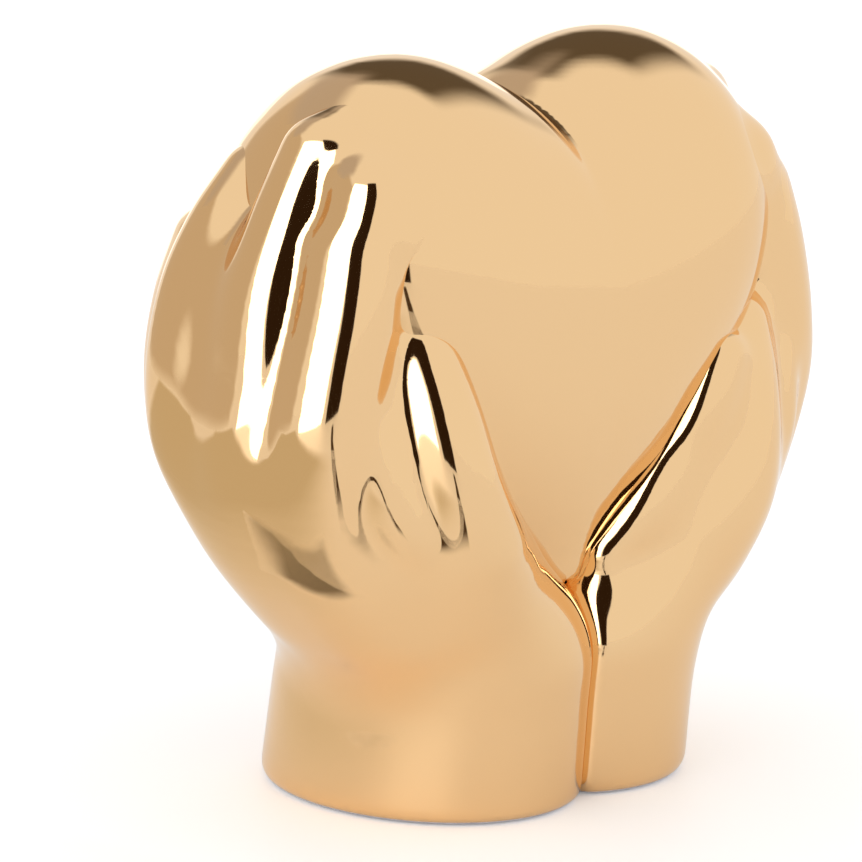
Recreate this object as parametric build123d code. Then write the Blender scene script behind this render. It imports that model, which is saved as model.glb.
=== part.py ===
"""Ornament: two hands, joined at the wrists, holding a puffy heart.

Frame: millimetres, +Z up, the table at Z = 0, the front at -Y, and the two
hands mirrored about the plane X = 0. "Out" below means away from that plane
on either side, and "forward" means toward the front of the wrists' middle.
The whole ornament is moved along Y at the end, so its footprint is centred.
"""
import math
import os

from build123d import *

# Overall sizes
total_height = 200.0
heart_half_width = 81.5
heart_half_depth = 47.5
heart_forward = 8.5
wrist_half_width = 38.4
wrist_half_depth = 48.5
foot_edge_radius = 4.5
finger_radius = 12.0

# Felt pads in the undersides
felt_thickness = 2.0
felt_inset = 9.0
felt_play = 0.2

# Heart, by station out from the middle plane. The stations turn evenly from
# the middle to the side. Rims are shares of the total height, and depths are
# shares of the half depth.
heart_top_shares = (0.892, 0.965, 0.996, 0.998, 0.980, 0.942, 0.881, 0.822)
heart_bottom_shares = (0.220, 0.265, 0.328, 0.402, 0.478, 0.555, 0.637, 0.702)
heart_depth_shares = (1.0, 1.0, 0.988, 0.951, 0.868, 0.731, 0.524, 0.269)
heart_end_height_share = 0.762
heart_level_station = 3
heart_fold_power = 3.0
heart_rim_points = 12

# Wrist and heel of the palm, by height: shares of the total height, of the
# heart half width (out), of the wrist half depth (forward), and of the
# wrist's own half width and half depth.
palm_shares = (
    (0.000, 0.240, 0.000, 1.000, 1.000),
    (0.130, 0.245, 0.082, 0.977, 0.979),
    (0.215, 0.270, 0.165, 0.977, 0.948),
    (0.280, 0.344, 0.186, 0.911, 0.887),
    (0.340, 0.454, 0.186, 0.755, 0.742),
    (0.400, 0.589, 0.186, 0.521, 0.536),
)

# Digits, from the wrist through the palm to the last bone: rows of out,
# forward, height and radius, as shares of the heart half width, the wrist
# half depth, the total height and the finger radius.
index_shares = (
    (0.417, 0.330, 0.200, 0.917),
    (0.613, 0.495, 0.270, 1.333),
    (0.773, 0.530, 0.340, 1.375),
    (0.920, 0.546, 0.415, 1.233),
    (1.010, 0.619, 0.525, 1.050),
    (1.000, 0.670, 0.610, 1.000),
    (0.957, 0.687, 0.700, 0.958),
    (0.902, 0.697, 0.775, 0.900),
    (0.828, 0.691, 0.840, 0.833),
)
middle_shares = (
    (0.417, 0.124, 0.190, 0.833),
    (0.613, 0.165, 0.270, 1.250),
    (0.785, 0.165, 0.340, 1.333),
    (0.957, 0.155, 0.415, 1.208),
    (1.104, 0.144, 0.510, 1.050),
    (1.117, 0.175, 0.610, 1.000),
    (1.055, 0.227, 0.715, 0.958),
    (0.957, 0.216, 0.800, 0.917),
    (0.822, 0.155, 0.885, 0.833),
)
ring_shares = (
    (0.417, -0.041, 0.200, 0.833),
    (0.613, -0.062, 0.280, 1.208),
    (0.761, -0.082, 0.340, 1.250),
    (0.933, -0.144, 0.420, 1.167),
    (1.067, -0.237, 0.515, 1.017),
    (1.098, -0.247, 0.610, 0.958),
    (1.049, -0.247, 0.705, 0.917),
    (0.951, -0.237, 0.780, 0.858),
    (0.822, -0.227, 0.843, 0.792),
)
little_shares = (
    (0.344, -0.124, 0.200, 0.750),
    (0.515, -0.289, 0.280, 1.125),
    (0.626, -0.392, 0.345, 1.208),
    (0.767, -0.505, 0.410, 1.150),
    (0.896, -0.604, 0.500, 0.958),
    (0.933, -0.619, 0.590, 0.883),
    (0.908, -0.604, 0.680, 0.817),
    (0.847, -0.588, 0.755, 0.733),
)
thumb_shares = (
    (0.123, 0.536, 0.220, 1.000),
    (0.294, 0.680, 0.278, 1.292),
    (0.460, 0.825, 0.335, 1.375),
    (0.580, 0.924, 0.399, 1.250),
    (0.655, 0.932, 0.474, 1.100),
    (0.699, 0.874, 0.566, 0.983),
    (0.729, 0.810, 0.645, 0.817),
)
thumb_web_shares = (
    (0.589, 0.660, 0.310, 1.083),
    (0.748, 0.680, 0.400, 1.000),
    (0.822, 0.701, 0.465, 0.667),
    (0.859, 0.711, 0.530, 0.458),
    (0.871, 0.722, 0.610, 0.375),
)
right_thumb_drop_share = 0.045
right_index_drop_share = 0.025
web_radius_share = 0.75
web_stations = 5
digit_stations = 7
digit_end_share = 0.97


def heart_middle(number):
    """Middle height of a station's section, halfway between its rims."""
    return total_height * (heart_top_shares[number] + heart_bottom_shares[number]) / 2


def heart_out(number):
    """How far out a station stands."""
    return heart_half_width * math.sin(math.pi / 2 * number / len(heart_top_shares))


def eased_middle(number):
    """Middle height of a section on the front, level at the plane of symmetry."""
    if number >= heart_level_station:
        return heart_middle(number)
    level = heart_out(heart_level_station)
    before = heart_level_station - 1
    after = heart_level_station + 1
    slope = (heart_middle(after) - heart_middle(before)) / (heart_out(after) - heart_out(before))
    fall = slope * (level - heart_out(number) ** 2 / level) / 2
    return heart_middle(heart_level_station) - fall


def heart_section(number):
    """One closed section of the heart, in a plane square to X.

    The rims follow their own laws, and the middle of the section follows an
    easy curve instead, so the fold between the lobes fades out on the front.
    """
    half_height = total_height * (heart_top_shares[number] - heart_bottom_shares[number]) / 2
    half_depth = heart_half_depth * heart_depth_shares[number]
    eased = eased_middle(number)
    shift = heart_middle(number) - eased
    points = []
    for step in range(heart_rim_points):
        turn = 2 * math.pi * step / heart_rim_points
        lift = math.sin(turn)
        height = eased + half_height * lift + shift * abs(lift) ** heart_fold_power
        points.append((-heart_forward + half_depth * math.cos(turn), height))
    outline = Spline(*points, periodic=True)
    return Plane.YZ.offset(heart_out(number)) * make_face(outline)


def heart_body():
    """The whole heart, lofted from the middle plane to its side and mirrored."""
    sections = [heart_section(number) for number in range(len(heart_top_shares))]
    end = Vertex(heart_half_width, -heart_forward, total_height * heart_end_height_share)
    half = loft(sections + [end])
    return half + mirror(half, about=Plane.YZ)


def palm_body():
    """The right wrist and the heel of its palm, with a rounded foot edge."""
    sections = []
    for height_share, out_share, forward_share, width_share, depth_share in palm_shares:
        oval = Ellipse(wrist_half_width * width_share, wrist_half_depth * depth_share)
        centre = Pos(heart_half_width * out_share, -wrist_half_depth * forward_share)
        sections.append(Plane.XY.offset(total_height * height_share) * centre * oval)
    palm = loft(sections)
    return fillet(palm.edges().group_by(Axis.Z)[0], foot_edge_radius)


def limb_sections(shares, drop, stations):
    """Round sections along the bones of a limb, and the middle and radius of its end.

    The end of the limb is lower than its rows say by drop, and the rows
    before it by less and less.
    """
    centres = []
    radii = []
    for number, (out_share, forward_share, height_share, radius_share) in enumerate(shares):
        reach = number / (len(shares) - 1)
        height = total_height * (height_share - drop * reach)
        centres.append(Vector(heart_half_width * out_share, -wrist_half_depth * forward_share, height))
        radii.append(finger_radius * radius_share)
    bones = Spline(*centres)
    knuckles = [bones.param_at_point(centre) for centre in centres]
    sections = []
    for station in range(stations):
        at = station / (stations - 1)
        radius = value_between(at, knuckles, radii)
        if at == 1:
            radius = radius * digit_end_share
        sections.append(ring_face(bones.position_at(at), bones.tangent_at(at), radius))
    return sections, centres[-1], radii[-1]


def digit_body(shares, drop):
    """One finger or thumb, with a round tip."""
    sections, end, radius = limb_sections(shares, drop, digit_stations)
    return loft(sections) + Pos(end.X, end.Y, end.Z) * Sphere(radius)


def web_body(shares):
    """The web between two fingers, in straight runs, since the valley hides most of it."""
    sections = limb_sections(shares, 0, web_stations)[0]
    return loft(sections, ruled=True)


def web_shares(first, second):
    """Rows of the web that fills the valley between two neighbouring fingers."""
    rows = []
    for near, far in zip(first, second):
        out_share, forward_share, height_share, radius_share = [(a + b) / 2 for a, b in zip(near, far)]
        rows.append((out_share, forward_share, height_share, radius_share * web_radius_share))
    return rows


def value_between(place, places, values):
    """Value at a place between two rows of a table."""
    for number in range(1, len(places)):
        if place <= places[number]:
            share = (place - places[number - 1]) / (places[number] - places[number - 1])
            return values[number - 1] + (values[number] - values[number - 1]) * share
    return values[-1]


def ring_face(centre, along, radius):
    """A disc of the given radius, square to the direction of a digit."""
    return Plane(origin=centre, x_dir=along.cross(Vector(0, 1, 0)), z_dir=along) * Circle(radius)


def largest(shape):
    """The largest solid of a shape."""
    return max(shape.solids(), key=lambda solid: solid.volume)


def felt_outline(play):
    """Outline of the right wrist's pad, clear of the foot's rim and the other wrist."""
    oval = Ellipse(wrist_half_width - felt_inset + play, wrist_half_depth - felt_inset + play)
    half = Pos(heart_half_width * palm_shares[0][1], 0) * oval
    keep = Pos(felt_inset - play + wrist_half_depth, 0) * Rectangle(
        2 * wrist_half_depth, 3 * wrist_half_depth
    )
    return half & keep


def right_hand(heart, thumb_drop, index_drop):
    """The right hand, cut where the heart and the other hand meet it."""
    hand = palm_body() + digit_body(index_shares, index_drop)
    for shares in (little_shares, ring_shares, middle_shares):
        hand = hand + digit_body(shares, 0)
    fingers = (index_shares, middle_shares, ring_shares, little_shares)
    for near, far in zip(fingers, fingers[1:]):
        hand = hand + web_body(web_shares(near, far))
    hand = hand + web_body(thumb_web_shares) + digit_body(thumb_shares, thumb_drop)
    side = Pos(-total_height, 0, 0) * Box(2 * total_height, 2 * total_height, 3 * total_height)
    hand = largest(hand - side - heart)
    recess = extrude(felt_outline(felt_play), felt_thickness)
    return hand - recess


def felt_pad():
    """The felt pad of the right wrist, flush with the foot."""
    return extrude(felt_outline(0), felt_thickness)


def main():
    """Builds each piece and writes it to its own file."""
    os.makedirs("parts", exist_ok=True)
    heart = heart_body()
    pieces = {
        "heart": heart,
        "left_hand": mirror(right_hand(heart, 0, 0), about=Plane.YZ),
        "right_hand": right_hand(heart, right_thumb_drop_share, right_index_drop_share),
        "left_felt_pad": mirror(felt_pad(), about=Plane.YZ),
        "right_felt_pad": felt_pad(),
    }
    fronts = [shape.bounding_box().min.Y for shape in pieces.values()]
    backs = [shape.bounding_box().max.Y for shape in pieces.values()]
    centring = Pos(0, -(min(fronts) + max(backs)) / 2, 0)
    for name, shape in pieces.items():
        export_step(centring * largest(shape), f"parts/{name}.step")


if __name__ == "__main__":
    main()
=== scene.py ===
"""Gold-lustred ceramic ornament: two hands, joined at the wrists, hold a puffy heart.

Lengths in the tables are millimetres in the part's frame: +Z up, the table
at Z = 0, the front at -Y and the hands mirrored about X = 0. "Out" means
away from that middle plane, on either side.
"""

import logging
import math
from dataclasses import dataclass
from enum import Enum
from typing import Any

import bpy
import numpy as np
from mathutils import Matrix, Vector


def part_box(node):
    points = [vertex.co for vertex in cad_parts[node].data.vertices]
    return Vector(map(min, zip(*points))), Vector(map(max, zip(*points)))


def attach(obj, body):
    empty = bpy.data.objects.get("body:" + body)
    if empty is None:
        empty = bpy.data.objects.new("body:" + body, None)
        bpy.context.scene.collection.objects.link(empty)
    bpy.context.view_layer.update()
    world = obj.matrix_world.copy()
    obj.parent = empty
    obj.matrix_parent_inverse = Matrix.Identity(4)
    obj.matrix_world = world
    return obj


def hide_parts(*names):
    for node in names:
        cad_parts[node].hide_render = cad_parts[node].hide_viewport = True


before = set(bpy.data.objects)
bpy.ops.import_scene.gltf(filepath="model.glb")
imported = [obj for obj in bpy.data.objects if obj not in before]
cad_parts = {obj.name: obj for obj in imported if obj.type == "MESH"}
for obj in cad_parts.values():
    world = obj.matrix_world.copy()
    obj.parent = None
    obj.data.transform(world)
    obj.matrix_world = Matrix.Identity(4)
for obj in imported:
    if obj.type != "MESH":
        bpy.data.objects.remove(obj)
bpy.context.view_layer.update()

import openvdb
from mathutils import Vector

log = logging.getLogger("ornament")

Row = tuple[float, ...]
Rows = tuple[Row, ...]
Socket = bpy.types.NodeSocket

MM = 0.001
IMAGE_PX = 862
FAR = 60.0
CELL = 1.0
AIM_HEIGHT = 0.1
FLOOR_CARD_LIFT = 0.0005
BONE_STEPS = 6
RELAX_ROUNDS = 6
RELAX_SHARE = 0.5
TINY = 1e-6
WHITE = (1.0, 1.0, 1.0, 1.0)


class Side(Enum):
    """Which hand: the value is the sign of X on its side."""

    LEFT = -1
    RIGHT = 1


def linear(hex_colour: str) -> tuple[float, float, float, float]:
    """Turns an sRGB hex colour to linear light.

    Args:
        hex_colour: Six hex digits after a #.

    Returns:
        Red, green, blue and an alpha of 1.
    """
    levels = [int(hex_colour[place : place + 2], 16) / 255 for place in (1, 3, 5)]
    red, green, blue = [
        level / 12.92 if level <= 0.04045 else ((level + 0.055) / 1.055) ** 2.4 for level in levels
    ]
    return (red, green, blue, 1.0)


def eased_line(rows: Rows, steps: int) -> np.ndarray:
    """Runs a smooth line through the rows of a table.

    Args:
        rows: The rows that the line passes through.
        steps: How many steps it takes from each row to the next.

    Returns:
        One array row per step.
    """
    points = np.array(rows, float)
    points = np.vstack([2 * points[0] - points[1], points, 2 * points[-1] - points[-2]])
    line = []
    for number in range(1, len(points) - 2):
        before, start, end, after = points[number - 1 : number + 3]
        for share in np.linspace(0, 1, steps, endpoint=False):
            line.append(
                0.5
                * (
                    2 * start
                    + (end - before) * share
                    + (2 * before - 5 * start + 4 * end - after) * share**2
                    + (3 * start - before - 3 * end + after) * share**3
                )
            )
    line.append(points[-2])
    return np.array(line)


def blend(first: np.ndarray, second: np.ndarray, radius: Any) -> np.ndarray:
    """Joins two distance fields with a fillet.

    Args:
        first: Distance to the first form, negative inside.
        second: Distance to the second form.
        radius: How far from the joint the fillet reaches, in millimetres.

    Returns:
        Distance to the joined form.
    """
    share = np.clip(0.5 + 0.5 * (second - first) / radius, 0, 1)
    return second + (first - second) * share - radius * share * (1 - share)


def trim(first: np.ndarray, second: np.ndarray, radius: float) -> np.ndarray:
    """Keeps what is inside both fields.

    Args:
        first: Distance to the first form, negative inside.
        second: Distance to the second form.
        radius: How far the edge between them is rounded, in millimetres.

    Returns:
        Distance to what the forms share.
    """
    return -blend(-first, -second, radius)


def ramp(height: np.ndarray, low: float, high: float, start: float, end: float) -> np.ndarray:
    """Eases a value from one level to another.

    Args:
        height: Where the value is wanted, cell by cell.
        low: Where it starts to change.
        high: Where it has changed.
        start: Its level below low.
        end: Its level above high.

    Returns:
        The value, cell by cell.
    """
    share = np.clip((height - low) / (high - low), 0, 1)
    return start + (end - start) * share * share * (3 - 2 * share)


@dataclass(frozen=True)
class ClayBlock:
    """The block of space that the forms are measured in, cell by cell.

    The forms are added, smoothed and cut as distances to their surfaces, as
    clay is, and the surface is drawn through the cells at the end. Centring
    is the ornament's shift along Y, which the CAD gives its pieces too.
    """

    low: Row = (-110.0, -66.0, -5.0)
    high: Row = (110.0, 58.0, 206.0)
    cell: float = CELL
    margin: float = 14.0
    centring: float = 0.0

    def axes(self) -> tuple[np.ndarray, np.ndarray, np.ndarray]:
        """Finds where the cells are.

        Returns:
            Their places along X, Y and Z, shaped to combine.
        """
        lines = []
        for low, high in zip(self.low, self.high):
            count = int(math.ceil((high - low) / self.cell)) + 1
            lines.append((low + self.cell * np.arange(count)).astype(np.float32))
        return lines[0][:, None, None], lines[1][None, :, None], lines[2][None, None, :]

    def limb(self, rows: Rows, side: Side) -> np.ndarray:
        """Distance to a limb with round sections.

        Args:
            rows: Out, Y, Z and radius along the limb's bones.
            side: The hand that it belongs to.

        Returns:
            The distance field, far away outside the limb's own window.
        """
        x, y, z = self.axes()
        distance = np.full((x.size, y.size, z.size), FAR, np.float32)
        line = eased_line(rows, BONE_STEPS)
        line[:, 0] *= side.value
        reach = line[:, 3].max() + self.margin
        window = tuple(
            slice(
                max(0, int((line[:, axis].min() - reach - self.low[axis]) / self.cell)),
                int((line[:, axis].max() + reach - self.low[axis]) / self.cell) + 2,
            )
            for axis in range(3)
        )
        near_x = x[window[0]]
        near_y = y[:, window[1]]
        near_z = z[:, :, window[2]]
        nearest = np.full((near_x.size, near_y.size, near_z.size), FAR, np.float32)
        for start, end in zip(line[:-1], line[1:]):
            bone = end[:3] - start[:3]
            from_x = near_x - start[0]
            from_y = near_y - start[1]
            from_z = near_z - start[2]
            along = (from_x * bone[0] + from_y * bone[1] + from_z * bone[2]) / (bone @ bone)
            along = np.clip(along, 0, 1)
            away = np.sqrt(
                (from_x - along * bone[0]) ** 2
                + (from_y - along * bone[1]) ** 2
                + (from_z - along * bone[2]) ** 2
            )
            nearest = np.minimum(nearest, away - start[3] - along * (end[3] - start[3]))
        distance[window] = nearest
        return distance

    def soften(self, distance: np.ndarray, passes: int) -> np.ndarray:
        """Smooths a field, as a sponge smooths clay.

        Args:
            distance: The field.
            passes: How often it is smoothed, by about a cell each time.

        Returns:
            The smoothed field.
        """
        for _ in range(passes):
            for axis in range(3):
                count = distance.shape[axis]
                later = distance.take(range(1, count), axis)
                sooner = distance.take(range(count - 1), axis)
                ahead = np.concatenate([later, distance.take([-1], axis)], axis)
                behind = np.concatenate([distance.take([0], axis), sooner], axis)
                distance = (ahead + behind + 2 * distance) / 4
        return distance

    def cast(self, distance: np.ndarray, name: str) -> bpy.types.Object:
        """Turns a field into a smooth mesh.

        Args:
            distance: The field, negative inside.
            name: The piece's name.

        Returns:
            The new object, in metres.
        """
        grid = openvdb.FloatGrid(background=FAR)
        grid.copyFromArray(distance.astype(np.float32))
        points, quads = grid.convertToQuads(isovalue=0.0)
        moved = np.array((0.0, self.centring, 0.0))
        points = (points * self.cell + np.array(self.low) + moved) * MM
        mesh = bpy.data.meshes.new(name)
        mesh.from_pydata(points.tolist(), [], quads.tolist())
        mesh.update()
        mesh.polygons.foreach_set("use_smooth", np.ones(len(mesh.polygons), bool))
        piece = bpy.data.objects.new(name, mesh)
        bpy.context.scene.collection.objects.link(piece)
        smoothing = piece.modifiers.new("sponged", "SMOOTH")
        smoothing.factor = RELAX_SHARE
        smoothing.iterations = RELAX_ROUNDS
        return piece


@dataclass(frozen=True)
class PuffyHeart:
    """The heart: sections square to X, mirrored, with a fold between the lobes.

    A station's row holds its distance out, the heights of its top and bottom
    rims and its half depth. The middles of the sections run level across the
    front inside level_out, while the rims keep the fold.
    """

    stations: Rows = (
        (0.0, 178.5, 44.0, 47.5),
        (5.0, 185.0, 46.2, 47.5),
        (10.0, 189.3, 49.0, 47.5),
        (20.0, 195.3, 56.0, 47.5),
        (30.0, 198.9, 64.5, 47.0),
        (40.0, 200.0, 74.5, 46.0),
        (50.0, 198.8, 86.0, 44.3),
        (60.0, 194.8, 99.0, 40.8),
        (70.0, 186.0, 115.0, 33.8),
        (77.0, 172.5, 132.0, 22.8),
        (81.5, 153.0, 152.0, 0.0),
    )
    half_width: float = 81.5
    centre_y: float = -8.5
    level_out: float = 45.0
    fold_power: float = 3.0
    slope_reach: float = 2.0
    rim_cut: float = 4.0
    line_steps: int = 8
    sponge_passes: int = 2
    name: str = "heart_casting"

    def field(self, block: ClayBlock) -> np.ndarray:
        """Measures the heart.

        Args:
            block: The block that it is formed in.

        Returns:
            Distance to its surface, negative inside.
        """
        x, y, z = block.axes()
        out, top, bottom, depth = eased_line(self.stations, self.line_steps).T
        middle = (top + bottom) / 2
        half_height = (top - bottom) / 2
        width = np.sqrt(np.maximum(self.half_width**2 - out**2, 1e-3))
        height_ratio = half_height / width
        depth_ratio = depth / width
        last = np.where(out <= self.half_width - self.rim_cut)[0][-1]
        height_ratio[last:] = height_ratio[last]
        depth_ratio[last:] = depth_ratio[last]
        away = np.abs(x)
        beyond = np.interp(self.level_out + self.slope_reach, out, middle)
        before = np.interp(self.level_out - self.slope_reach, out, middle)
        slope = (beyond - before) / (2 * self.slope_reach)
        level = np.interp(self.level_out, out, middle)
        eased = np.where(
            out < self.level_out,
            level - slope * self.level_out / 2 + slope * out**2 / (2 * self.level_out),
            middle,
        )
        centre = np.interp(away, out, eased)
        shift = np.interp(away, out, middle) - centre
        half_z = np.interp(away, out, height_ratio) * self.half_width
        half_y = np.interp(away, out, depth_ratio) * self.half_width
        lift = np.minimum(np.abs((z - centre) / half_z) ** self.fold_power, 1.0)
        off_x = away / self.half_width
        off_y = (y - self.centre_y) / half_y
        off_z = (z - centre - shift * lift) / half_z
        size = np.sqrt(off_x**2 + off_y**2 + off_z**2)
        slope_size = np.sqrt(
            (off_x / self.half_width) ** 2 + (off_y / half_y) ** 2 + (off_z / half_z) ** 2
        )
        distance = size * (size - 1) / np.maximum(slope_size, TINY)
        return block.soften(distance.astype(np.float32), self.sponge_passes)

    def build(
        self, block: ClayBlock, distance: np.ndarray, finish: "GoldLustre"
    ) -> bpy.types.Object:
        """Casts the heart and dresses it.

        Args:
            block: The block that it is formed in.
            distance: Distance to the heart.
            finish: The lustre.

        Returns:
            The casting.
        """
        piece = block.cast(distance, self.name)
        piece.data.materials.append(finish.material())
        return piece


@dataclass(frozen=True)
class FeltPad:
    """The felt under a wrist. The CAD pad stays, and the casting is recessed for it."""

    out: float = 19.6
    half_width: float = 29.6
    half_depth: float = 39.7
    seam_gap: float = 8.8
    thickness: float = 2.0

    def field(self, block: ClayBlock, side: Side) -> np.ndarray:
        """Measures the recess in the underside of a casting.

        Args:
            block: The block that the casting is formed in.
            side: The hand that the casting is of.

        Returns:
            Distance to the recess, negative inside.
        """
        x, y, z = block.axes()
        out = x * side.value
        size = np.sqrt(((out - self.out) / self.half_width) ** 2 + (y / self.half_depth) ** 2)
        oval = (size - 1) * self.half_width
        return np.maximum(np.maximum(oval, self.seam_gap - out), z - self.thickness)

    def dress(self, side: Side, finish: "WoolFelt") -> None:
        """Gives a CAD pad its felt.

        Args:
            side: The hand that it is under.
            finish: The felt.
        """
        name = f"{side.name.lower()}_felt_pad"
        pad = bpy.data.objects[name]
        pad.data.materials.clear()
        pad.data.materials.append(finish.material())
        log.info("%s: kept from the CAD", name)


@dataclass(frozen=True)
class CuppedHand:
    """One hand: wrist, palm, four fingers and a thumb, modelled as one casting.

    A wrist's row holds its height, its middle (out and Y) and its half width
    and half depth. A limb's row holds a point of its bones (out, Y and Z) and
    the radius there, from the wrist to the tip.

    Attributes:
        side: Which hand it is.
        thumb_drop: How much lower the thumb's tip lies than its table says.
        index_drop: The same for the index finger.
        pad: The felt under its wrist.
        index_flank: The fleshy outer side of the index finger.
        index_root: The tongue that the index finger leaves on the palm.
        web: The web between the index finger and the thumb.
        thumb_face: The broad pad of the left thumb.
        thenar: The ball of the left thumb.
        thumb_fill: Clay between the right thumb and the heart.
        lute: Where slip smooths the fingertips into the heart.
        valleys: Blend radii of the middle, ring and little fingers, each with
            the fingers before it, over the knuckles.
        tip_valleys: The same radii at the tips.
        overlap: How far the heart reaches into the hand behind the joint.
    """

    side: Side
    thumb_drop: float
    index_drop: float
    pad: FeltPad
    wrist: Rows = (
        (0.0, 19.6, 0.0, 38.4, 48.5),
        (26.0, 20.0, -4.0, 37.5, 47.5),
        (43.0, 22.0, -8.0, 37.5, 46.0),
        (56.0, 28.0, -9.0, 35.0, 43.0),
        (68.0, 37.0, -9.0, 29.0, 36.0),
        (80.0, 48.0, -9.0, 20.0, 26.0),
    )
    wrist_top: float = 78.0
    wrist_top_radius: float = 8.0
    index: Rows = (
        (34.0, -16.0, 40.0, 11.0),
        (50.0, -24.0, 54.0, 16.0),
        (62.5, -25.2, 68.0, 17.0),
        (74.0, -25.5, 83.0, 15.8),
        (81.0, -30.0, 105.0, 13.6),
        (79.8, -32.2, 122.0, 13.0),
        (75.8, -33.5, 140.0, 12.5),
        (72.5, -33.1, 155.0, 11.6),
        (67.9, -32.0, 168.0, 11.2),
    )
    index_flank: Rows = (
        (78.5, -25.0, 90.0, 11.0),
        (84.8, -27.5, 106.0, 10.8),
        (83.8, -29.8, 122.0, 10.4),
        (80.0, -31.2, 140.0, 10.0),
        (76.5, -30.6, 155.0, 9.4),
    )
    index_root: Rows = (
        (80.0, -31.5, 118.0, 11.5),
        (74.4, -37.6, 106.0, 9.2),
        (71.4, -41.1, 93.0, 8.2),
        (67.1, -43.9, 84.0, 6.5),
        (64.5, -44.2, 79.0, 4.5),
    )
    middle: Rows = (
        (34.0, -6.0, 38.0, 10.0),
        (50.0, -8.0, 54.0, 15.0),
        (64.0, -8.0, 68.0, 16.0),
        (78.0, -7.5, 83.0, 14.5),
        (89.0, -11.0, 102.0, 12.6),
        (88.3, -14.0, 122.0, 12.0),
        (85.8, -14.4, 143.0, 11.5),
        (79.3, -14.8, 160.0, 11.0),
        (69.3, -14.7, 178.0, 10.0),
    )
    ring: Rows = (
        (34.0, 2.0, 40.0, 10.0),
        (50.0, 3.0, 56.0, 14.5),
        (62.0, 4.0, 68.0, 15.0),
        (76.0, 7.0, 84.0, 14.0),
        (87.0, 11.0, 103.0, 12.8),
        (89.5, 11.3, 122.0, 12.2),
        (85.5, 11.3, 141.0, 11.7),
        (77.5, 11.0, 156.0, 10.9),
        (67.0, 10.5, 168.5, 10.0),
    )
    little: Rows = (
        (28.0, 6.0, 40.0, 9.0),
        (42.0, 14.0, 56.0, 13.5),
        (51.0, 19.0, 69.0, 14.5),
        (62.5, 24.5, 82.0, 13.8),
        (73.0, 29.3, 100.0, 11.5),
        (76.0, 30.0, 118.0, 10.6),
        (74.0, 29.3, 136.0, 9.8),
        (69.0, 28.5, 151.0, 8.8),
    )
    thumb: Rows = (
        (10.0, -26.0, 44.0, 12.0),
        (24.0, -33.0, 55.5, 15.5),
        (37.5, -40.0, 67.0, 16.5),
        (47.3, -44.8, 79.8, 15.0),
        (53.4, -45.2, 94.7, 13.2),
        (57.0, -42.4, 113.2, 11.8),
        (59.4, -39.3, 129.0, 9.8),
    )
    web: Rows = (
        (48.0, -33.0, 62.0, 14.0),
        (60.0, -36.0, 80.0, 13.0),
        (65.5, -38.5, 93.0, 10.0),
        (68.0, -39.5, 104.0, 7.5),
        (69.5, -39.5, 116.0, 5.7),
        (70.5, -37.5, 126.0, 4.5),
    )
    thumb_face: Rows = (
        (46.3, -48.0, 79.8, 11.5),
        (52.5, -50.0, 94.7, 9.8),
        (56.0, -47.2, 113.2, 9.0),
        (57.9, -43.6, 127.0, 7.6),
    )
    thenar: Rows = (
        (18.0, -33.0, 55.0, 10.0),
        (26.0, -36.5, 67.0, 10.0),
        (34.0, -38.5, 79.0, 9.5),
        (41.0, -41.0, 94.0, 8.0),
        (46.0, -41.5, 108.0, 6.0),
    )
    thumb_fill: Rows = (
        (11.0, -38.0, 65.0, 8.0),
        (21.0, -43.0, 77.0, 9.0),
        (32.0, -44.5, 90.0, 9.0),
        (39.0, -47.5, 103.0, 8.5),
        (45.0, -48.0, 115.0, 6.5),
    )
    lute: Rows = (
        (62.0, -24.0, 180.0, 12.0),
        (64.0, -36.0, 172.0, 8.0),
        (66.5, -49.0, 160.0, 4.0),
        (68.5, -51.0, 148.0, 3.0),
    )
    valleys: Row = (2.5, 17.0, 13.0)
    tip_valleys: Row = (3.5, 8.0, 5.0)
    palm_valley: float = 15.0
    knuckle_heights: Row = (90.0, 120.0)
    tip_heights: Row = (145.0, 178.0)
    flank_blend: float = 4.0
    heel_blend: float = 9.0
    web_blend: Row = (80.0, 110.0, 10.0, 4.0)
    root_blend: float = 2.5
    thumb_blend: Row = (70.0, 100.0, 10.0, 4.0)
    face_blend: float = 4.0
    thenar_blend: float = 6.0
    fill_blend: float = 9.0
    sponge_passes: int = 3
    seam_radius: float = 3.2
    lute_fade: float = 8.0
    lute_radius: Row = (142.0, 158.0, 2.5, 6.0)
    lute_step: float = 0.05
    overlap: float = 3.0
    foot_radius: float = 4.5

    def wrist_field(self, block: ClayBlock) -> np.ndarray:
        """Measures the oval wrist and the heel of the palm.

        Args:
            block: The block that they are formed in.

        Returns:
            Distance to their surface, negative inside.
        """
        x, y, z = block.axes()
        height, out, centre_y, half_x, half_y = eased_line(self.wrist, BONE_STEPS).T
        off_x = x * self.side.value - np.interp(z, height, out)
        off_y = y - np.interp(z, height, centre_y)
        wide = np.interp(z, height, half_x)
        deep = np.interp(z, height, half_y)
        size = np.sqrt((off_x / wide) ** 2 + (off_y / deep) ** 2)
        slope = np.sqrt((off_x / wide**2) ** 2 + (off_y / deep**2) ** 2)
        distance = size * (size - 1) / np.maximum(slope, TINY)
        return trim(distance, z - self.wrist_top, self.wrist_top_radius)

    def dropped(self, rows: Rows, drop: float) -> Rows:
        """Bends a digit lower.

        Args:
            rows: The digit's rows.
            drop: How much lower its tip goes, in millimetres.

        Returns:
            The bent rows.
        """
        last = len(rows) - 1
        return tuple(
            (out, y, z - drop * number / last, radius)
            for number, (out, y, z, radius) in enumerate(rows)
        )

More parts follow.
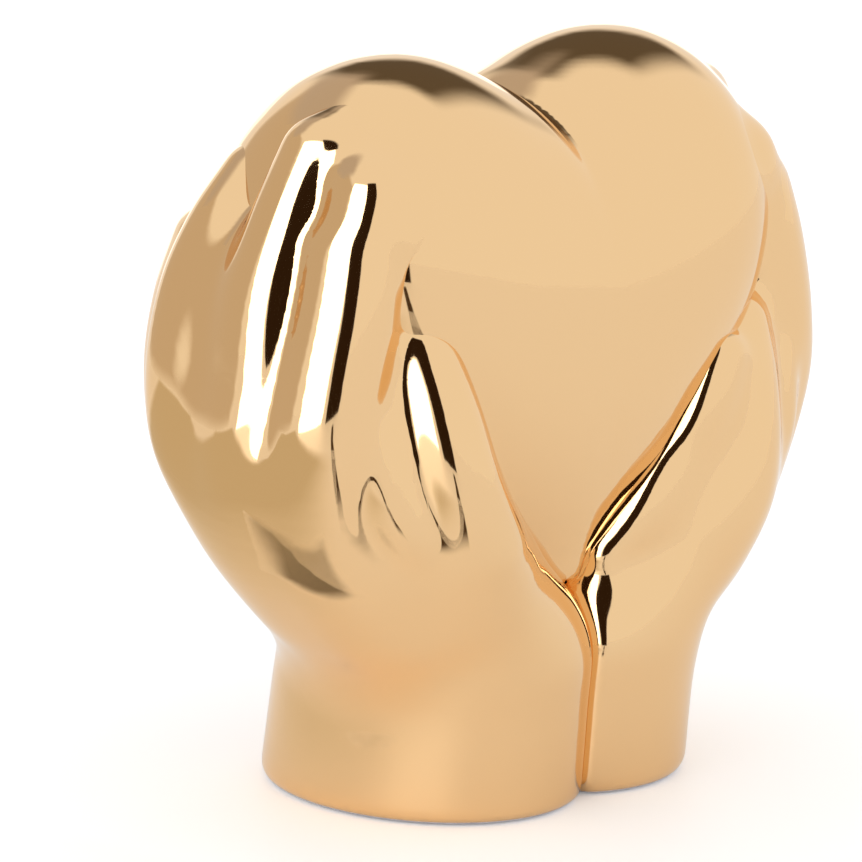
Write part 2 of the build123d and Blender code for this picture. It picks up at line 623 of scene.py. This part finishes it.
    def thumb_field(self, block: ClayBlock) -> np.ndarray:
        """Measures the thumb, with what only this side's thumb has.

        Args:
            block: The block that it is formed in.

        Returns:
            Distance to its surface, negative inside.
        """
        thumb = block.limb(self.dropped(self.thumb, self.thumb_drop), self.side)
        if self.side is Side.RIGHT:
            return blend(thumb, block.limb(self.thumb_fill, self.side), self.fill_blend)
        thumb = blend(thumb, block.limb(self.thumb_face, self.side), self.face_blend)
        return blend(thumb, block.limb(self.thenar, self.side), self.thenar_blend)

    def field(self, block: ClayBlock) -> np.ndarray:
        """Measures the hand, before the heart is pressed into it.

        Args:
            block: The block that it is formed in.

        Returns:
            Distance to its surface, negative inside.
        """
        x, _, z = block.axes()
        fingers = block.limb(self.dropped(self.index, self.index_drop), self.side)
        fingers = blend(fingers, block.limb(self.index_flank, self.side), self.flank_blend)
        others = zip((self.middle, self.ring, self.little), self.valleys, self.tip_valleys)
        for rows, valley, tip_valley in others:
            width = ramp(z, *self.knuckle_heights, self.palm_valley, valley)
            width = width - ramp(z, *self.tip_heights, 0.0, valley - tip_valley)
            fingers = blend(fingers, block.limb(rows, self.side), width)
        hand = blend(self.wrist_field(block), fingers, self.heel_blend)
        hand = blend(hand, block.limb(self.web, self.side), ramp(z, *self.web_blend))
        hand = blend(hand, block.limb(self.index_root, self.side), self.root_blend)
        hand = blend(hand, self.thumb_field(block), ramp(z, *self.thumb_blend))
        hand = block.soften(hand.astype(np.float32), self.sponge_passes)
        hand = trim(hand, -x * self.side.value, self.seam_radius)
        return trim(hand, -z, self.foot_radius)

    def build(self, block: ClayBlock, heart: np.ndarray, finish: "GoldLustre") -> bpy.types.Object:
        """Casts the hand against the heart and dresses it.

        Args:
            block: The block that it is formed in.
            heart: Distance to the heart.
            finish: The lustre.

        Returns:
            The casting.
        """
        hand = self.field(block)
        away = block.limb(self.lute, self.side)
        radius = ramp(block.axes()[2], *self.lute_radius)
        luted = blend(hand, heart + self.lute_step, radius)
        hand = hand + (luted - hand) * ramp(away, 0.0, self.lute_fade, 1.0, 0.0)
        pressed = np.maximum(hand, -heart - self.overlap)
        pressed = np.maximum(pressed, -self.pad.field(block, self.side))
        piece = block.cast(pressed, f"{self.side.name.lower()}_hand_casting")
        piece.data.materials.append(finish.material())
        return piece


def add_node(
    tree: bpy.types.NodeTree, kind: str, settings: dict[Any, Any], links: dict[Any, Socket]
) -> bpy.types.Node:
    """Adds a node to a tree, sets it and links it.

    Args:
        tree: The tree that it goes in.
        kind: The node's type name.
        settings: Attribute names, or input names or numbers, and their values.
        links: Input names or numbers and the sockets that feed them.

    Returns:
        The new node.
    """
    node = tree.nodes.new(kind)
    for name, value in settings.items():
        if isinstance(name, int) or name in node.inputs:
            node.inputs[name].default_value = value
        else:
            setattr(node, name, value)
    for name, source in links.items():
        tree.links.new(source, node.inputs[name])
    return node


def blank_material(name: str) -> tuple[bpy.types.Material, bpy.types.NodeTree]:
    """Makes a material with nothing in it yet.

    Args:
        name: The material's name.

    Returns:
        The material and its empty node tree.
    """
    material = bpy.data.materials.new(name)
    material.use_nodes = True
    material.node_tree.nodes.clear()
    return material, material.node_tree


@dataclass(frozen=True)
class GoldLustre:
    """Fired gold lustre, brushed over a glazed slip casting.

    The film is thin metal on glass-smooth glaze, so it mirrors the room with
    only faint ripples. It stops short of the foot, where the glaze is bare.
    """

    gold_hex: str = "#F2CC99"
    glaze_hex: str = "#DAD6DC"
    roughness: float = 0.05
    glaze_roughness: float = 0.3
    ripple_mm: float = 9.0
    ripple_height_mm: float = 0.02
    ripple_detail: float = 2.0
    ripple_grain: float = 0.5
    bare_foot_mm: float = 1.1

    def material(self) -> bpy.types.Material:
        """Makes the lustre once, for all three castings.

        The ripple gives the eye the slight waviness of poured clay in the
        mirrored lines, and the bare glaze a pale thread along the foot.

        Returns:
            The material.
        """
        found = bpy.data.materials.get("gold_lustre_on_glaze")
        if found:
            return found
        material, tree = blank_material("gold_lustre_on_glaze")
        place = add_node(tree, "ShaderNodeTexCoord", {}, {}).outputs["Object"]
        ripple = add_node(
            tree,
            "ShaderNodeTexNoise",
            {
                "Scale": 1 / (self.ripple_mm * MM),
                "Detail": self.ripple_detail,
                "Roughness": self.ripple_grain,
            },
            {"Vector": place},
        )
        bump = add_node(
            tree,
            "ShaderNodeBump",
            {"Strength": 1.0, "Distance": self.ripple_height_mm * MM},
            {"Height": ripple.outputs["Fac"]},
        )
        gold = add_node(
            tree,
            "ShaderNodeBsdfPrincipled",
            {"Base Color": linear(self.gold_hex), "Metallic": 1.0, "Roughness": self.roughness},
            {"Normal": bump.outputs["Normal"]},
        )
        glaze = add_node(
            tree,
            "ShaderNodeBsdfPrincipled",
            {"Base Color": linear(self.glaze_hex), "Roughness": self.glaze_roughness},
            {},
        )
        height = add_node(tree, "ShaderNodeSeparateXYZ", {}, {"Vector": place}).outputs["Z"]
        bare = {"operation": "GREATER_THAN", 1: self.bare_foot_mm * MM}
        above = add_node(tree, "ShaderNodeMath", bare, {0: height}).outputs[0]
        mixed = add_node(
            tree, "ShaderNodeMixShader", {}, {"Fac": above, 1: glaze.outputs[0], 2: gold.outputs[0]}
        )
        add_node(tree, "ShaderNodeOutputMaterial", {}, {"Surface": mixed.outputs[0]})
        return material


@dataclass(frozen=True)
class WoolFelt:
    """Pressed black wool felt: matt, with a fine mottle where the fibres mat."""

    felt_hex: str = "#1C1B1A"
    fibre_hex: str = "#33312F"
    mottle_mm: float = 0.6
    mottle_detail: float = 4.0
    roughness: float = 0.95
    fuzz: float = 0.4

    def material(self) -> bpy.types.Material:
        """Makes the felt once, for both pads.

        Returns:
            The material.
        """
        found = bpy.data.materials.get("black_wool_felt")
        if found:
            return found
        material, tree = blank_material("black_wool_felt")
        place = add_node(tree, "ShaderNodeTexCoord", {}, {}).outputs["Object"]
        mottle = add_node(
            tree,
            "ShaderNodeTexNoise",
            {"Scale": 1 / (self.mottle_mm * MM), "Detail": self.mottle_detail},
            {"Vector": place},
        )
        colour = add_node(
            tree,
            "ShaderNodeMix",
            {"data_type": "RGBA", 6: linear(self.felt_hex), 7: linear(self.fibre_hex)},
            {0: mottle.outputs["Fac"]},
        )
        felt = add_node(
            tree,
            "ShaderNodeBsdfPrincipled",
            {"Roughness": self.roughness, "Sheen Weight": self.fuzz},
            {"Base Color": colour.outputs[2]},
        )
        add_node(tree, "ShaderNodeOutputMaterial", {}, {"Surface": felt.outputs[0]})
        return material


@dataclass(frozen=True)
class Card:
    """A soft-edged panel of the light tent, which only reflections show.

    Turn is the compass bearing from the ornament, 0 at the front and +90 at
    its right hand, and lift is the elevation, both in degrees. Distance, wide
    and high are metres. A flat card lies on the floor instead of facing the
    ornament, with its height along the bearing.
    """

    name: str
    turn: float
    lift: float
    distance: float
    wide: float
    high: float
    hex_colour: str
    strength: float
    soft_share: float = 0.06
    flat: bool = False

    def material(self) -> bpy.types.Material:
        """Makes a glow that fades out toward the panel's edges.

        Returns:
            The material.
        """
        material, tree = blank_material(self.name)
        place = add_node(tree, "ShaderNodeTexCoord", {}, {}).outputs["Generated"]
        axes = add_node(tree, "ShaderNodeSeparateXYZ", {}, {"Vector": place})
        edges = []
        soft = {"interpolation_type": "SMOOTHSTEP", "From Max": self.soft_share}
        for axis in ("X", "Y"):
            folded = {"operation": "PINGPONG", 1: 0.5}
            inside = add_node(tree, "ShaderNodeMath", folded, {0: axes.outputs[axis]}).outputs[0]
            edge = add_node(tree, "ShaderNodeMapRange", soft, {"Value": inside})
            edges.append(edge.outputs["Result"])
        times = {"operation": "MULTIPLY"}
        fade = add_node(tree, "ShaderNodeMath", times, {0: edges[1], 1: edges[0]}).outputs[0]
        light = {"Color": linear(self.hex_colour), "Strength": self.strength}
        glow = add_node(tree, "ShaderNodeEmission", light, {})
        clear = add_node(tree, "ShaderNodeBsdfTransparent", {}, {})
        mixed = add_node(
            tree, "ShaderNodeMixShader", {}, {"Fac": fade, 1: clear.outputs[0], 2: glow.outputs[0]}
        )
        add_node(tree, "ShaderNodeOutputMaterial", {}, {"Surface": mixed.outputs[0]})
        return material

    def hang(self, aim: Vector) -> bpy.types.Object:
        """Hangs the panel so that it faces the ornament.

        Args:
            aim: The point that it faces.

        Returns:
            The panel.
        """
        turn = math.radians(self.turn)
        lift = math.radians(self.lift)
        away = Vector(
            (math.sin(turn) * math.cos(lift), -math.cos(turn) * math.cos(lift), math.sin(lift))
        )
        wide = self.wide / 2
        high = self.high / 2
        mesh = bpy.data.meshes.new(self.name)
        corners = [(-wide, -high, 0), (wide, -high, 0), (wide, high, 0), (-wide, high, 0)]
        mesh.from_pydata(corners, [], [(0, 1, 2, 3)])
        panel = bpy.data.objects.new(self.name, mesh)
        bpy.context.scene.collection.objects.link(panel)
        panel.location = aim + away * self.distance
        if self.flat:
            panel.location.z = FLOOR_CARD_LIFT
            panel.rotation_euler = (0.0, 0.0, turn)
        else:
            panel.rotation_euler = away.to_track_quat("Z", "Y").to_euler()
        panel.visible_camera = False
        panel.visible_diffuse = False
        panel.visible_shadow = False
        mesh.materials.append(self.material())
        return panel


@dataclass(frozen=True)
class Studio:
    """A pale light tent: a floor, a soft world and cards for the lustre to mirror.

    The softbox and the dark slot beside it draw the white and black stripes
    on the fingers, the walls and the table tone the flanks tan, and the flag
    browns the tops of the lobes. Two dim strips on the floor are painted
    shade for the reflections: the ornament's shadow by the left wrist and
    the shaded crease under the index root.
    """

    aim: Vector
    floor_hex: str = "#FBFAFA"
    tent_hex: str = "#FAFAFB"
    tent_strength: float = 1.0
    floor_roughness: float = 0.6
    floor_size: float = 12.0
    floor_lift: float = 0.2
    cards: tuple[Card, ...] = (
        Card("left_softbox", -72.0, 20.0, 0.75, 0.55, 1.0, "#FFFFFF", 3.6, 0.03),
        Card("camera_slot", -40.0, 20.0, 0.7, 0.26, 1.1, "#2E2014", 1.0, 0.06),
        Card("left_wall", -142.0, 24.0, 0.9, 1.5, 1.1, "#D0C6BA", 1.0, 0.12),
        Card("back_paper", 142.0, 6.0, 1.3, 1.2, 0.5, "#FFFFFF", 1.5, 0.1),
        Card("ceiling_flag", 128.0, 49.0, 1.0, 1.25, 0.85, "#625A50", 1.0, 0.25),
        Card("left_ceiling", -172.0, 52.0, 0.88, 0.9, 0.6, "#C4BFC0", 1.0, 0.3),
        Card("left_table", -115.0, 0.0, 0.55, 0.7, 1.0, "#D0C7B4", 1.0, 0.15, flat=True),
        # Painted shade: a dark strip on the table toward the camera, seen only in reflections,
        # draws the dark line along the lower edge of the index root, where that crease lies in
        # shade.
        Card("painted_crease_shade_strip", -38.0, 0.0, 0.42, 0.03, 0.5, "#4A3B2C", 1.0, 0.1, flat=True),
        # Painted shadow: a grey patch on the table by the left wrist, seen only in reflections,
        # stands in for the ornament's own cast shadow there.
        Card("painted_shadow_by_left_wrist", -82.0, 0.0, 0.137, 0.12, 0.058, "#7E776E", 1.0, 0.2, flat=True),
    )

    def lay_floor(self) -> None:
        """Lays the pale table, a little lighter to the camera than the tent makes it."""
        half = self.floor_size / 2
        mesh = bpy.data.meshes.new("floor")
        corners = [(-half, -half, 0), (half, -half, 0), (half, half, 0), (-half, half, 0)]
        mesh.from_pydata(corners, [], [(0, 1, 2, 3)])
        floor = bpy.data.objects.new("floor", mesh)
        bpy.context.scene.collection.objects.link(floor)
        material, tree = blank_material("pale_table")
        paint = add_node(
            tree,
            "ShaderNodeBsdfPrincipled",
            {"Base Color": linear(self.floor_hex), "Roughness": self.floor_roughness},
            {},
        )
        seen = add_node(tree, "ShaderNodeLightPath", {}, {}).outputs["Is Camera Ray"]
        lift = add_node(
            tree, "ShaderNodeMath", {"operation": "MULTIPLY", 1: self.floor_lift}, {0: seen}
        ).outputs[0]
        glow = add_node(tree, "ShaderNodeEmission", {"Color": WHITE}, {"Strength": lift})
        both = add_node(tree, "ShaderNodeAddShader", {}, {0: paint.outputs[0], 1: glow.outputs[0]})
        add_node(tree, "ShaderNodeOutputMaterial", {}, {"Surface": both.outputs[0]})
        mesh.materials.append(material)

    def light_tent(self) -> None:
        """Lights the tent evenly, and gives the camera a white background."""
        world = bpy.data.worlds.new("tent")
        bpy.context.scene.world = world
        world.use_nodes = True
        tree = world.node_tree
        tree.nodes.clear()
        tent = add_node(
            tree,
            "ShaderNodeBackground",
            {"Color": linear(self.tent_hex), "Strength": self.tent_strength},
            {},
        )
        white = add_node(tree, "ShaderNodeBackground", {"Color": WHITE, "Strength": 1.0}, {})
        seen = add_node(tree, "ShaderNodeLightPath", {}, {}).outputs["Is Camera Ray"]
        mixed = add_node(
            tree, "ShaderNodeMixShader", {}, {"Fac": seen, 1: tent.outputs[0], 2: white.outputs[0]}
        )
        add_node(tree, "ShaderNodeOutputWorld", {}, {"Surface": mixed.outputs[0]})

    def build(self) -> None:
        """Lays the floor, lights the tent and hangs the cards."""
        self.lay_floor()
        self.light_tent()
        for card in self.cards:
            card.hang(self.aim)


@dataclass(frozen=True)
class ProductCamera:
    """The camera of the photograph, found by fitting the wrists' and heart's outlines."""

    aim: Vector
    turn: float = 44.5
    lift: float = 12.3
    distance: float = 1.4
    px_per_mm: float = 3.74
    right_px: float = 41.5
    up_px: float = 24.5
    near_clip: float = 0.05

    def place(self) -> bpy.types.Object:
        """Adds the camera and makes it the scene's.

        Returns:
            The camera.
        """
        turn = math.radians(self.turn)
        lift = math.radians(self.lift)
        back = Vector(
            (-math.sin(turn) * math.cos(lift), -math.cos(turn) * math.cos(lift), math.sin(lift))
        )
        data = bpy.data.cameras.new("product_camera")
        data.lens = self.px_per_mm * self.distance / MM / IMAGE_PX * data.sensor_width
        data.shift_x = -self.right_px / IMAGE_PX
        data.shift_y = -self.up_px / IMAGE_PX
        data.clip_start = self.near_clip
        camera = bpy.data.objects.new("product_camera", data)
        bpy.context.scene.collection.objects.link(camera)
        camera.location = self.aim + back * self.distance
        camera.rotation_euler = (-back).to_track_quat("-Z", "Y").to_euler()
        bpy.context.scene.camera = camera
        return camera


def main() -> None:
    """Builds the ornament piece by piece, then the studio and the camera."""
    logging.basicConfig(level=logging.INFO, format="%(message)s")
    pad_low, pad_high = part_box("left_felt_pad")
    centring = (pad_low[1] + pad_high[1]) / 2
    aim = Vector((0.0, centring, AIM_HEIGHT))
    block = ClayBlock(centring=centring / MM)
    finish = GoldLustre()
    heart = PuffyHeart()
    heart_field = heart.field(block)
    pieces = {"heart": heart.build(block, heart_field, finish)}
    pad = FeltPad()
    left = CuppedHand(Side.LEFT, thumb_drop=0.0, index_drop=0.0, pad=pad)
    right = CuppedHand(Side.RIGHT, thumb_drop=9.0, index_drop=5.0, pad=pad)
    for hand in (left, right):
        pieces[f"{hand.side.name.lower()}_hand"] = hand.build(block, heart_field, finish)
        pad.dress(hand.side, WoolFelt())
    for node, piece in pieces.items():
        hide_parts(node)
        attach(piece, "root")
        log.info("%s: %d faces", piece.name, len(piece.data.polygons))
    Studio(aim).build()
    ProductCamera(aim).place()
    bpy.context.scene.view_settings.view_transform = "Standard"


if __name__ == "__main__":
    main()
